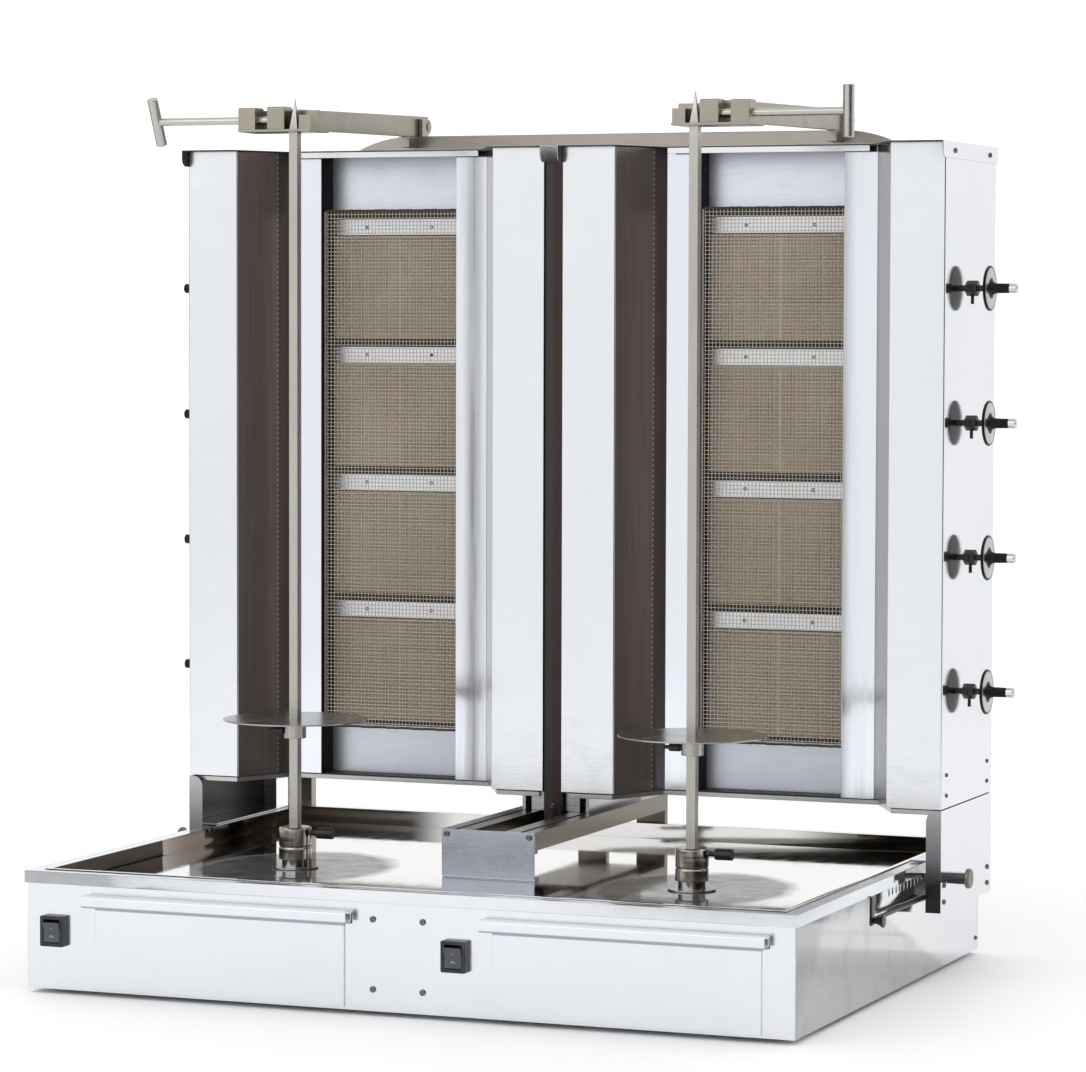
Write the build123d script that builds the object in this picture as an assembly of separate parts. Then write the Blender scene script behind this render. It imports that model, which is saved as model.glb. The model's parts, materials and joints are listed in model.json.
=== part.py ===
from build123d import *
import os
from math import cos, hypot, pi, sin

# Double vertical rotisserie broiler: two gas heated towers that slide on a drip-tray base,
# one motor driven spit in front of each. Millimetres. The origin is the centre of the base's
# footprint on the bench, +X to the cook's right, -Y towards the cook, +Z up.

# ---- Driving dimensions ----
BASE_W, BASE_D, BASE_TOP = 1000, 767, 152    # base footprint and the height of its rim
FOOT_H = 6                                   # gap between the bench and the base
SHEET = 1.5                                  # sheet steel of casings and base
RIM_H, RIM_OUT, RIM_W = 15, 3, 20            # rim skirt height, overhang and top width
TRAY_FLOOR = 132                             # top face of the drip tray's floor

TOWER_W, TOWER_GAP = 514, 26                 # one tower, and the gap between the two
TOWER_Z = (220, 1058)                        # underside and top of the tower casings
TOWER_Y = (114.5, 346.5)                     # front of the wings, rear of the side panels
WING_W = 72                                  # flat wing on each side of the tower's front
FLAT_Y, FLAT_HALF = 196.5, 143               # plane and half width of the inner front strips
OPEN_HALF, RECESS_Y = 98.5, 234.5            # half width and depth of the burner recess
GUARD_Y = 206.5                              # plane of the wire guard
TOWER_TRAVEL, SLOT_PITCH = 165, 15           # forward travel, and the pitch of its index slots

BURNERS, BURNER_PITCH, STACK_Z0 = 4, 172, 285
FIELD_H, FIELD_Z = 136, 7                    # ceramic field height and its offset in a cell

SPIT_X, SPIT_Y, SPIT_SIDE = 270, -95.5, 12   # spit axis and square bar
SPIT_Z = (152, 1074, 1114)                   # foot, start of the point, tip
DISC_R, DISC_Z = 92.5, 323                   # meat disc radius and the height of its middle
ARM_DX, ARM_T = 36, 10                       # arm bar outboard of the spit, and its thickness
ARM_Y = (-77.5, 402.5)                       # front and rear ends of the arm bar
ARM_FRONT_Z, ARM_REAR_Z = (1077, 1103.5), (1086, 1114.5)
PIVOT_Y, PIVOT_Z, PIVOT_R = 390, 1100, 6     # arm hinge
PLATE_Y, PLATE_Z = (364, 368), (300, 1086)   # rear plate
PLATE_HALF, SHOULDER_R = 490, 180            # its half width and shoulder radius
CLAMP_Z, CLAMP_FLOOR = 1087, (1072, 1075)    # clamp screw axis, and the plate under the jaws
JAW_GAP, JAW_TRAVEL, NUT_W = 9.5, 12, 24     # spit axis to each jaw, opening, clamp nut width

DRAWER_W, DRAWER_X = 336, {"left": -237, "right": 291.5}
SWITCH_X, SWITCH_Z = {"left": -462, "right": 76}, 79

PAN_HALF, PAN_REAR, PAN_Z = 156, -150, (16, 100)       # half width, rear end and height of its pan
SWITCH_SIZE, SWITCH_CUT = (32, 38), (14, 17) # rocker switch frame, and half of its cutout
ROCKER_TILT = 8
CABLE_X, CABLE_Z, CABLE_R = -430, 50, 10     # cable entry
FOOT_X, FOOT_Y, FOOT_R, STUD_R = 455, 338, 18, 4

PLUNGER_Y, PLUNGER_Z = 147.5, 131            # index plunger axis, and the height of its slots
VALVE_Y = {"left": 224, "right": 238.5}      # gas valve spindle axes
MANIFOLD_U, PIPE_Y = 222, 300                # gas pipe: out from the tower's middle, and its plane
INLET_U, INLET_Z = 150, 250                  # gas inlet: out from the tower's middle, and its height
THREAD_R = 10.48                             # half inch gas thread
SHANK_R, SHANK_L = 2, 7                      # screw shanks
FIT = 0.1                                    # sliding gap
RUNNING = 0.05                               # radial running clearance

# ---- Worked out from the above ----
FRONT, REAR, HALF_W = -BASE_D / 2, BASE_D / 2, BASE_W / 2
TOWER_X = (TOWER_W + TOWER_GAP) / 2
TOWER_HALF = TOWER_W / 2
OUTER_X = TOWER_X + TOWER_HALF               # outer face of the outer side panel
FLOOR = FOOT_H + SHEET                       # inside face of the base's floor
RIM_UNDER = BASE_TOP - SHEET
CELLS = [STACK_Z0 + n * BURNER_PITCH for n in range(BURNERS)]
STACK_TOP = STACK_Z0 + BURNERS * BURNER_PITCH + FIELD_Z
VALVE_Z = [z + FIELD_Z + FIELD_H / 2 for z in CELLS]
RAIL_OUTER, RAIL_INNER, RAIL_Z = (47, 63), (22, 42), (170, 193)
RAIL_FRONT, TIE_T = -102.5, 4                # front of the centre plate, and the rails' cross ties
POST_X, POST_TOP = (463, HALF_W), 700        # rear posts
COLUMN_Y, COLUMN_HALF = (118, 340), 12.5
CAP_REACH, CAP_FLANGE, CAP_LIP = 17, 20, 8   # cap past the tower's front, flange and lip heights
SPINDLE_R, SCREW_R, STEM_R = 10, 5, 4        # spit spindle, clamp screw and valve stem
PIN_R, SLEEVE_L = 4, 24                      # index plunger's pin, and its sleeve past the bracket
BURNER_HALF, MIXER_Y = 96.8, RECESS_Y + SHEET + 27     # inside of a burner box; mixing tube's plane
ARM_X = SPIT_X + ARM_DX
JAW_X = SPIT_X + 34                          # outer end of the sliding jaw
NUT_X = JAW_X + JAW_TRAVEL + 4
ROCKER_PIVOT_Y = FRONT - 3
INDEX_ROWS = [PLUNGER_Y - n * SLOT_PITCH for n in range(TOWER_TRAVEL // SLOT_PITCH + 1)]
SIDES = {"left": -1, "right": 1}


# ---- Shapes ----
def block(x, y, z):
    """Box between two limits on each axis."""
    size = Box(x[1] - x[0], y[1] - y[0], z[1] - z[0])
    return Pos((x[0] + x[1]) / 2, (y[0] + y[1]) / 2, (z[0] + z[1]) / 2) * size


def rod_x(radius, x, y, z):
    return Pos((x[0] + x[1]) / 2, y, z) * Rot(0, 90, 0) * Cylinder(radius, x[1] - x[0])


def rod_y(radius, x, y, z):
    return Pos(x, (y[0] + y[1]) / 2, z) * Rot(90, 0, 0) * Cylinder(radius, y[1] - y[0])


def rod_z(radius, x, y, z):
    return Pos(x, y, (z[0] + z[1]) / 2) * Cylinder(radius, z[1] - z[0])


def prism_z(points, z):
    """Plan outline of (x, y) points, from z[0] up to z[1]."""
    face = make_face(Polyline(*[(x, y, z[0]) for x, y in points], close=True))
    return extrude(face, z[1] - z[0], dir=(0, 0, 1))


def prism_x(points, x):
    """Side outline of (y, z) points, from x[0] to x[1]."""
    face = make_face(Polyline(*[(x[0], y, z) for y, z in points], close=True))
    return extrude(face, x[1] - x[0], dir=(1, 0, 0))


def turned(profile):
    """Solid of revolution about Z from (radius, z) points that start and end on the axis."""
    face = make_face(Polyline(*[(r, 0, z) for r, z in profile], close=True))
    return revolve(face, Axis.Z)


def folded(path, thickness):
    """Outline of a folded sheet: the path, and its mitred copy on the path's left."""
    normals = []
    for (ax, ay), (bx, by) in zip(path, path[1:]):
        length = hypot(bx - ax, by - ay)
        normals.append(((ay - by) / length, (bx - ax) / length))
    far = []
    for n, (px, py) in enumerate(path):
        before, after = normals[max(n - 1, 0)], normals[min(n, len(normals) - 1)]
        mitre = 1 + before[0] * after[0] + before[1] * after[1]
        reach = thickness / mitre
        far.append((px + (before[0] + after[0]) * reach, py + (before[1] + after[1]) * reach))
    return path + far[::-1]


def place(shape, at, toward):
    """The shape, built along +Z from the origin, moved to a point and turned to face a way."""
    return Plane(origin=at, z_dir=toward).location * shape


def four_bars(ring, outer, inner, z):
    """A rectangular ring cut at its mitred corners into front, rear, right and left bars."""
    (ox, oy), (ix, iy) = outer, inner
    front = prism_z([(-ox, -oy), (ox, -oy), (ix, -iy), (-ix, -iy)], z)
    right = prism_z([(ox, -oy), (ox, oy), (ix, iy), (ix, -iy)], z)
    cutters = [front, mirror(front, about=Plane.XZ), right, mirror(right, about=Plane.YZ)]
    return [ring & cutter for cutter in cutters]


def bent(sheet, corners):
    """A folded sheet with bend radii: (x, y, radius) for each upright edge to round."""
    for x, y, radius in corners:
        edges = [edge for edge in sheet.edges().filter_by(Axis.Z)
                 if hypot(edge.center().X - x, edge.center().Y - y) < 0.01]
        sheet = fillet(edges, radius)
    return sheet


def one_side(shape, side):
    """The right-hand shape itself, or its mirror image for the left."""
    return shape if SIDES[side] > 0 else mirror(shape, about=Plane.YZ)


def write(name, *shapes):
    solids = [solid for shape in shapes for solid in shape.solids()]
    whole = solids[0] if len(solids) == 1 else Compound(solids)
    export_step(whole, f"parts/{name}.step")


def slots_x(rows, size, x, z):
    """Upright rounded slots at each Y of rows, cut along X."""
    width, height = size
    slot = extrude(Plane.YZ * SlotOverall(height, width, rotation=90), x[1] - x[0])
    return [Pos(x[0], y, z) * slot for y in rows]


# ---- Screws ----
def button_screw(head_r):
    """Round headed screw with a hexagon socket; its head stands on the plane z = 0."""
    head_h = head_r * 0.6
    head = chamfer(Cylinder(head_r, head_h).edges().sort_by(Axis.Z)[-1], head_h * 0.45)
    head = Pos(0, 0, head_h / 2) * head
    socket = extrude(Pos(0, 0, head_h * 0.5) * RegularPolygon(head_r * 0.45, 6), head_h)
    return head + rod_z(SHANK_R, 0, 0, (-SHANK_L, 0)) - socket


def screws(spots, head_r=4.0):
    """Screws at (point, direction) spots."""
    one = button_screw(head_r)
    return [place(one, at, toward) for at, toward in spots]


def screw_holes(spots):
    """Clearance holes for the shanks of screws at the same spots."""
    hole = rod_z(SHANK_R + RUNNING, 0, 0, (-SHANK_L, 1))
    return [place(hole, at, toward) for at, toward in spots]


FRONT_SCREWS = [((x, FRONT, z), (0, -1, 0)) for x in (-32, 33) for z in (32.5, 117)]
SIDE_SCREWS = [((s * HALF_W, REAR - 12, 22), (s, 0, 0)) for s in (-1, 1)]
CENTRE_SCREWS = [((x, RAIL_FRONT, 187), (0, -1, 0)) for x in (-56, 56)]
COLUMN_SCREWS = [((0, 118, z), (0, -1, 0)) for z in (182, 201)]
BRACKET_SCREWS = [((OUTER_X, y, z), (1, 0, 0)) for y in (129.5, 328.5) for z in (102, 123)]
CAP_SCREWS = [((OUTER_X + SHEET + FIT, y, 1048), (1, 0, 0)) for y in (150, 310)]
PANEL_SCREWS = [((OUTER_X, y, z), (1, 0, 0)) for y in (137, 324) for z in (236, 262)]
STRIP_SCREWS = [((TOWER_X + u, RECESS_Y, z + 157.5), (0, -1, 0)) for u in (-47, 47) for z in CELLS]
COVER_SCREWS = [((TOWER_X + u, TOWER_Y[1] + SHEET, z), (0, 1, 0))
                for u in (-232, 232) for z in (250, 640, 1030)]


# ---- Base ----
def drawer_guides(x):
    """Upright and ledge on each side of one drawer."""
    y, beside, under = (FRONT + SHEET, PAN_REAR), PAN_HALF + 0.2, PAN_Z[0] - FIT
    upright, ledge, guide_top = (beside, beside + SHEET), (PAN_HALF - 10, beside), 40
    guides = []
    for edge in (-1, 1):
        guides.append(block(sorted(x + edge * u for u in upright), y, (FLOOR, guide_top)))
        guides.append(block(sorted(x + edge * u for u in ledge), y, (under - 2, under)))
    return guides


def front_sheet():
    """Front of the base, with a window for each drawer and each switch."""
    sheet = block((-HALF_W, HALF_W), (FRONT, FRONT + SHEET), (FOOT_H, RIM_UNDER))
    through, half, cut = (FRONT - 1, FRONT + SHEET + 1), PAN_HALF + 4, SWITCH_CUT
    for side, x in DRAWER_X.items():
        switch = SWITCH_X[side]
        sheet -= block((x - half, x + half), through, (PAN_Z[0] - 4, PAN_Z[1] + 6))
        sheet -= block((switch - cut[0], switch + cut[0]), through, (SWITCH_Z - cut[1], SWITCH_Z + cut[1]))
    return sheet - screw_holes(FRONT_SCREWS)


def rear_sheet():
    """Rear of the base, with air slots for the motors and the cable entry."""
    sheet = block((-HALF_W, HALF_W), (REAR - SHEET, REAR), (FOOT_H, RIM_UNDER))
    through, vent_half, vent_z = (REAR - 3, REAR + 1), 3, (40, 100)
    for x in range(-120, 121, 30):
        sheet -= block((x - vent_half, x + vent_half), through, vent_z)
    return sheet - rod_y(CABLE_R, CABLE_X, through, CABLE_Z)


def base_housing():
    """Base welded from flat sheets and open at the top, with guides for the two drawers."""
    y = (FRONT + SHEET, REAR - SHEET)
    floor = block((SHEET - HALF_W, HALF_W - SHEET), y, (FOOT_H, FLOOR))
    floor -= [rod_z(STUD_R, x, y, (FOOT_H - 1, FLOOR + 1)) for x, y in foot_spots()]
    wall, index_slot = block((HALF_W - SHEET, HALF_W), y, (FOOT_H, RIM_UNDER)), (6, 9)
    wall -= slots_x(INDEX_ROWS, index_slot, (HALF_W - 5, HALF_W + 1), PLUNGER_Z)
    wall -= screw_holes(SIDE_SCREWS[1:])
    guides = [guide for x in DRAWER_X.values() for guide in drawer_guides(x)]
    return [front_sheet(), rear_sheet(), floor, wall, mirror(wall, about=Plane.YZ)] + guides


def top_frame():
    """Rim around the base in four mitred bars, each with a skirt, a flat top and an inner lip."""
    x, y = HALF_W + RIM_OUT, REAR + RIM_OUT
    ring = block((-x, x), (-y, y), (BASE_TOP - RIM_H, BASE_TOP))
    ring -= block((SHEET - x, x - SHEET), (SHEET - y, y - SHEET), (0, RIM_UNDER))
    ix, iy, lip_h = HALF_W - RIM_W, REAR - RIM_W, 6
    ring += block((-ix - SHEET, ix + SHEET), (-iy - SHEET, iy + SHEET), (BASE_TOP - lip_h, BASE_TOP))
    ring -= block((-ix, ix), (-iy, iy), (0, BASE_TOP + 1))
    return four_bars(ring, (x, y), (ix, iy), (0, BASE_TOP + 1))


def drip_tray():
    """Shallow polished tray that hangs on the rim: floor, four walls and two spindle collars."""
    ix, iy, t, hem = HALF_W - RIM_W - 1, REAR - RIM_W - 1, 1.2, 5
    low, high = TRAY_FLOOR - t, BASE_TOP + t
    inner_x, inner_y = ix - t, iy - t
    floor = block((-inner_x, inner_x), (-inner_y, inner_y), (low, TRAY_FLOOR))
    ring = block((-ix, ix), (-iy, iy), (low, high))
    ring += block((-ix - hem, ix + hem), (-iy - hem, iy + hem), (BASE_TOP, high))
    ring -= block((-inner_x, inner_x), (-inner_y, inner_y), (low - 1, high + 1))
    collars, collar_h, drain_r, drain_y = [], 11.5, 15, -270
    for side, s in SIDES.items():
        x = s * SPIT_X
        bore = rod_z(SPINDLE_R + 2, x, SPIT_Y, (low - 5, TRAY_FLOOR + 20))
        collar = rod_z(30, x, SPIT_Y, (TRAY_FLOOR, TRAY_FLOOR + 2))
        collar += rod_z(17, x, SPIT_Y, (TRAY_FLOOR, TRAY_FLOOR + collar_h))
        collars.append(collar - bore)
        floor -= [bore, rod_z(drain_r, DRAWER_X[side], drain_y, (low - 1, TRAY_FLOOR + 1))]
    walls = four_bars(ring, (ix + hem, iy + hem), (inner_x, inner_y), (low - 1, high + 1))
    return [floor] + walls + collars


def centre_rails():
    """Welded slide: front plate, two pairs of rails, cross ties and rear legs."""
    half, shadow_gap = RAIL_OUTER[1], 2
    body = block((-half, half), (RAIL_FRONT, RAIL_FRONT + 2), (TRAY_FLOOR + shadow_gap, RAIL_Z[1]))
    body += block((-half, half), (RAIL_FRONT + 2, RAIL_FRONT + 16), (TRAY_FLOOR, TRAY_FLOOR + 4))
    long = (RAIL_FRONT + 2, REAR)
    for edge in (-1, 1):
        for lo, hi in (RAIL_OUTER, RAIL_INNER):
            body += block(sorted((edge * lo, edge * hi)), long, RAIL_Z)
        web = sorted((edge * RAIL_INNER[0], edge * RAIL_OUTER[1]))
        body += block(web, (REAR - 12, REAR), (BASE_TOP, RAIL_Z[0] + 6))
        body += block(web, (RAIL_FRONT + 2, RAIL_FRONT + 12), (RAIL_Z[0] - TIE_T, RAIL_Z[0]))
    tie_y = (COLUMN_Y[0] - 2, COLUMN_Y[1] + 2)
    body += block((-RAIL_INNER[1], RAIL_INNER[1]), tie_y, (RAIL_Z[0] - TIE_T, RAIL_Z[0]))
    return body - screw_holes(CENTRE_SCREWS)


def centre_column():
    """Channel that stands on the rails and closes the gap between the towers."""
    (front, rear), half, top = COLUMN_Y, COLUMN_HALF, TOWER_Z[1] - CAP_FLANGE - 1
    body = block((-half, half), COLUMN_Y, (RAIL_Z[0], top))
    body -= block((SHEET - half, half - SHEET), (front + SHEET, rear + 1), (RAIL_Z[0] - 1, top - SHEET))
    return body - screw_holes(COLUMN_SCREWS)


def arm_underside(y):
    """Height of the sloping arm bar's lower edge."""
    slope = (ARM_REAR_Z[0] - ARM_FRONT_Z[0]) / (ARM_Y[1] - ARM_Y[0])
    return ARM_FRONT_Z[0] + slope * (y - ARM_Y[0])


def rear_upright():
    """Rear plate with round shoulders on two posts; it carries the arm clevises and rests."""
    plate = block((-PLATE_HALF, PLATE_HALF), PLATE_Y, PLATE_Z)
    corners = plate.edges().filter_by(Axis.Y).sort_by(Axis.Z)[-2:]
    plate = fillet(corners, SHOULDER_R)
    gap, rest_y, boss_r = ARM_T / 2 + FIT, PLATE_Y[0] - 34, 10
    for s in (-1, 1):
        plate += block(sorted(s * x for x in POST_X), (PLATE_Y[1], REAR), (BASE_TOP, POST_TOP))
        arm_x = s * ARM_X
        plate -= block((arm_x - gap, arm_x + gap), (PLATE_Y[0] - 1, PLATE_Y[1] + 1),
                       (arm_underside(PLATE_Y[0]) - FIT, PLATE_Z[1] + 1))
        plate += block((arm_x - 8, arm_x + 8), (rest_y, PLATE_Y[0]), (1070, arm_underside(rest_y) - FIT))
        for edge in (-1, 1):
            x = sorted((arm_x + edge * gap, arm_x + edge * (gap + 6)))
            plate += block(x, (PLATE_Y[1], PIVOT_Y), (PIVOT_Z - 22, PIVOT_Z + boss_r))
            plate += rod_x(boss_r, x, PIVOT_Y, PIVOT_Z)
        plate -= rod_x(PIVOT_R + RUNNING, (arm_x - 20, arm_x + 20), PIVOT_Y, PIVOT_Z)
    return plate


def spit_motors():
    """Gear motor under each spindle: flanged gearbox on a round motor."""
    motors, half, gearbox_z, motor_r, boss_r = [], 40, (52, 100), 32, 18
    for s in (-1, 1):
        x = s * SPIT_X
        gearbox = block((x - half, x + half), (SPIT_Y - half, SPIT_Y + half), gearbox_z)
        motor = fillet(gearbox.edges(), 4) + rod_z(motor_r, x, SPIT_Y, (FLOOR, gearbox_z[0] + 8))
        motor += rod_z(boss_r, x, SPIT_Y, (gearbox_z[1] - 10, gearbox_z[1] + 6))
        motors.append(motor - rod_z(SPINDLE_R + RUNNING, x, SPIT_Y, (gearbox_z[0] + 10, TRAY_FLOOR)))
    return motors


def foot_spots():
    return [(sx * FOOT_X, sy * FOOT_Y) for sx in (-1, 1) for sy in (-1, 1)]


def feet():
    """Rubber feet with studs that press into the base's floor."""
    stud_top = FLOOR + 2
    foot = turned([(0, 0), (FOOT_R - 4, 0), (FOOT_R, 2), (FOOT_R, FOOT_H), (STUD_R, FOOT_H),
                   (STUD_R, stud_top), (0, stud_top)])
    return [Pos(x, y, 0) * foot for x, y in foot_spots()]


def base_screws():
    return screws(FRONT_SCREWS + CENTRE_SCREWS) + screws(SIDE_SCREWS + COLUMN_SCREWS, 3)


# ---- Switches ----
def switch_bezel(x):
    """Black frame around one rocker, with its body behind the panel."""
    z, (half_w, half_h) = SWITCH_Z, [size / 2 for size in SWITCH_SIZE]
    cut_w, cut_h = [size - FIT for size in SWITCH_CUT]
    body = block((x - half_w, x + half_w), (FRONT - 10, FRONT), (z - half_h, z + half_h))
    body = fillet(body.edges().filter_by(Axis.Y), 2)
    body += block((x - cut_w, x + cut_w), (FRONT, FRONT + 24), (z - cut_h, z + cut_h))
    body -= block((x - 11, x + 11), (FRONT - 11, FRONT + 8), (z - 14.5, z + 14.5))
    return body - rod_x(1.5 + RUNNING, (x - 13, x + 13), ROCKER_PIVOT_Y, z)


def rocker(x):
    """Rocker with a shallow V front, modelled in its off position."""
    y, z = ROCKER_PIVOT_Y, SWITCH_Z
    outline = [(y - 9, z - 12.5), (y - 6.5, z), (y - 9, z + 12.5), (y, z + 11), (y + 4, z), (y, z - 11)]
    body = prism_x(outline, (x - 10.8, x + 10.8)) + rod_x(1.5, (x - 12.5, x + 12.5), y, z)
    return body.rotate(Axis((x, y, z), (1, 0, 0)), ROCKER_TILT)


# ---- Drawers ----
def drawer(x):
    """Grease drawer: pan, folded front and a lip along its top to pull by."""
    face, back, half = FRONT - 3, FRONT - 0.2, DRAWER_W / 2
    low, high, flat = 9, 113, half - SHEET
    front = block((x - half, x + half), (face, back), (low, high))
    front -= block((x - flat, x + flat), (face + SHEET, back + 1), (low + SHEET, high - SHEET))
    lip_y, lip_z = face - 16, high + 14
    lip = [(face + SHEET, high - 3), (face + SHEET, lip_z - 4), (face - 1, lip_z), (lip_y + 3, lip_z),
           (lip_y, lip_z - 3), (lip_y, high - 1)]
    front += prism_x(folded(lip, SHEET), (x - half - 11, x + half + 9))
    wall, pan_y = 1.2, (face + SHEET, PAN_REAR)
    inside, inside_y = PAN_HALF - wall, (pan_y[0] + wall, pan_y[1] - wall)
    pan = block((x - PAN_HALF, x + PAN_HALF), pan_y, PAN_Z)
    pan -= block((x - inside, x + inside), inside_y, (PAN_Z[0] + wall, PAN_Z[1] + 1))
    return front + pan


# ---- Spits ----
def spit(side):
    """Square bar with a four sided point."""
    half = SPIT_SIDE / 2
    bar = block((-half, half), (-half, half), SPIT_Z[:2])
    base = Pos(0, 0, SPIT_Z[1]) * Rectangle(SPIT_SIDE, SPIT_SIDE)
    point = loft([base, Pos(0, 0, SPIT_Z[2]) * Rectangle(0.6, 0.6)])
    return Pos(SIDES[side] * SPIT_X, SPIT_Y, 0) * (bar + point)


def spit_socket(side):
    """Turning socket on its spindle, and the thumb screw that holds the spit."""
    foot, neck, groove, top, r = 66, TRAY_FLOOR + 12, 160, 185, 21
    body = turned([(0, foot), (SPINDLE_R, foot), (SPINDLE_R, neck), (r, neck), (r, groove - 2),
                   (r - 1, groove - 1), (r - 1, groove + 1), (r, groove + 2), (r, top - 2), (r - 2, top),
                   (0, top)])
    hole, screw_z, screw_r = SPIT_SIDE / 2 + FIT, top - 7, 3
    body -= block((-hole, hole), (-hole, hole), (SPIT_Z[0] - 1, top + 5))
    body -= rod_x(screw_r + RUNNING, (0, r + 9), 0, screw_z)
    screw = rod_x(screw_r, (hole, r + 10), 0, screw_z) + rod_x(7, (r + 10, r + 32), 0, screw_z)
    at = Pos(SIDES[side] * SPIT_X, SPIT_Y, 0)
    return at * body, at * screw


def meat_disc(side):
    """Thin disc on a hub that slides on the spit, held by a black thumb screw."""
    hub_r, hub_h, screw_r, z = 14, 24, 2.5, DISC_Z - 15
    hub = rod_z(DISC_R, 0, 0, (DISC_Z - 1, DISC_Z + 1)) + rod_z(hub_r, 0, 0, (DISC_Z - hub_h, DISC_Z))
    hole = SPIT_SIDE / 2 + 2 * FIT
    hub -= block((-hole, hole), (-hole, hole), (DISC_Z - hub_h - 6, DISC_Z + 5))
    hub -= rod_x(screw_r + RUNNING, (-hub_r - 6, 0), 0, z)
    screw = rod_x(screw_r, (-38, -hole), 0, z) + rod_x(5, (-30, -hub_r - 2), 0, z)
    at = Pos(SIDES[side] * SPIT_X, SPIT_Y, 0)
    return at * hub, at * screw


# ---- Arms (built for the right, mirrored for the left) ----
def arm():
    """Sloping flat bar with its hinge pin, and the clamp frame welded to its front end."""
    front, rear = ARM_Y
    shelf_y, frame_x, floor = front + 26, (SPIT_X - 27, NUT_X + NUT_W), CLAMP_FLOOR[1]
    cheek_y, cheek_top, nut_top, jaw_top, eye_r = SPIT_Y + 12.5, 1100, 1103, 1093, 9
    outline = [(front, floor), (shelf_y, floor), (shelf_y + 10, arm_underside(shelf_y + 10)),
               (rear, ARM_REAR_Z[0]), (rear, ARM_REAR_Z[1]), (front, ARM_FRONT_Z[1])]
    body = prism_x(outline, (ARM_X - ARM_T / 2, ARM_X + ARM_T / 2))
    body += rod_x(PIVOT_R, (ARM_X - 12.5, ARM_X + 12.5), PIVOT_Y, PIVOT_Z)
    body += block(frame_x, (SPIT_Y - 14, shelf_y), CLAMP_FLOOR)
    body += block(frame_x, (cheek_y, front), (floor, cheek_top))
    nut = block((NUT_X, NUT_X + NUT_W), (SPIT_Y - 13, SPIT_Y + 13), (floor, nut_top))
    body += chamfer(nut.edges().filter_by(Axis.X).sort_by(Axis.Z)[-2:], 2)
    body += block((frame_x[0], SPIT_X - JAW_GAP), (SPIT_Y - 10, SPIT_Y + 13), (floor, jaw_top))
    body -= rod_z(eye_r, SPIT_X, SPIT_Y, (CLAMP_FLOOR[0] - 10, cheek_top))
    return body - rod_x(SCREW_R + RUNNING, (NUT_X - 1, NUT_X + NUT_W + 1), SPIT_Y, CLAMP_Z)


def clamp_jaw():
    """Sliding jaw of the clamp."""
    half, top = 12, 1104
    jaw = block((SPIT_X + JAW_GAP, JAW_X), (SPIT_Y - half, SPIT_Y + half), (CLAMP_FLOOR[1] + FIT, top))
    return chamfer(jaw.edges().filter_by(Axis.X).sort_by(Axis.Z)[-2:], 2)


def t_handle(tilt):
    """Clamp screw with its cross bar."""
    outer, bar_r, bar_l = SPIT_X + 196, 7, 64
    bar = fillet(Cylinder(bar_r, bar_l).edges(), 1.5)
    bar = Pos(outer, SPIT_Y, CLAMP_Z) * Rot(tilt, 0, 0) * bar
    return rod_x(SCREW_R, (JAW_X + FIT, outer), SPIT_Y, CLAMP_Z) + bar


# ---- Towers (built for the right, mirrored for the left) ----
def tower_outline(inset, reach=0):
    """Plan of a tower, inset from its faces and drawn forward by a reach."""
    wing, ahead = TOWER_HALF - WING_W, inset - reach
    front, flat, rear = TOWER_Y[0] + ahead, FLAT_Y + ahead, TOWER_Y[1] - inset
    right = [(TOWER_HALF - inset, rear), (TOWER_HALF - inset, front), (wing + inset / 2, front),
             (FLAT_HALF + inset / 2, flat)]
    left = [(-x, y) for x, y in reversed(right)]
    return [(TOWER_X + x, y) for x, y in right + left]


def both_edges(path, z):
    """A folded sheet on the outer side of a tower and its mirror image on the inner side."""
    sheet = prism_z(folded([(TOWER_X + x, y) for x, y in path], SHEET), z)
    return sheet, mirror(sheet, about=Plane.YZ.offset(TOWER_X))


def side_casings(side):
    """Side panel and wing in one folded sheet, on each side of a tower."""
    wing, rear_flange, bend, valve_hole = TOWER_HALF - WING_W, 18, 2.5, 7
    path = [(TOWER_HALF - rear_flange, TOWER_Y[1]), (TOWER_HALF, TOWER_Y[1]), (TOWER_HALF, TOWER_Y[0]),
            (wing, TOWER_Y[0])]
    outer, inner = both_edges(path[::-1], TOWER_Z)
    inside = (OUTER_X - SHEET, TOWER_Y[0] + SHEET, bend - SHEET)
    outer = bent(outer, [(OUTER_X, TOWER_Y[0], bend), inside, (OUTER_X, TOWER_Y[1], bend)])
    holes = screw_holes(PANEL_SCREWS + CAP_SCREWS)
    holes += [rod_x(valve_hole, (OUTER_X - 5, OUTER_X + 5), VALVE_Y[side], z) for z in VALVE_Z]
    return outer - holes, inner


def reflectors():
    """Slanted reflector, flat strip and recess wall, folded from one sheet on each side."""
    wing = TOWER_HALF - WING_W
    path = [(wing - SHEET / 2, TOWER_Y[0] + SHEET), (FLAT_HALF, FLAT_Y), (OPEN_HALF, FLAT_Y),
            (OPEN_HALF, RECESS_Y)]
    return both_edges(path[::-1], (TOWER_Z[0], TOWER_Z[1] - 0.2))


def burner_frame():
    """Plate at the back of the recess with a window for each ceramic field."""
    half = OPEN_HALF + 16
    x = (TOWER_X - half, TOWER_X + half)
    plate = block(x, (RECESS_Y, RECESS_Y + SHEET), (TOWER_Z[0], TOWER_Z[1] - 0.2))
    window = (TOWER_X - OPEN_HALF + 1.5, TOWER_X + OPEN_HALF - 1.5)
    for z in CELLS:
        plate -= block(window, (RECESS_Y - 1, RECESS_Y + 3), (z + FIELD_Z, z + FIELD_Z + FIELD_H))
    return plate - screw_holes(STRIP_SCREWS)


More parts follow.
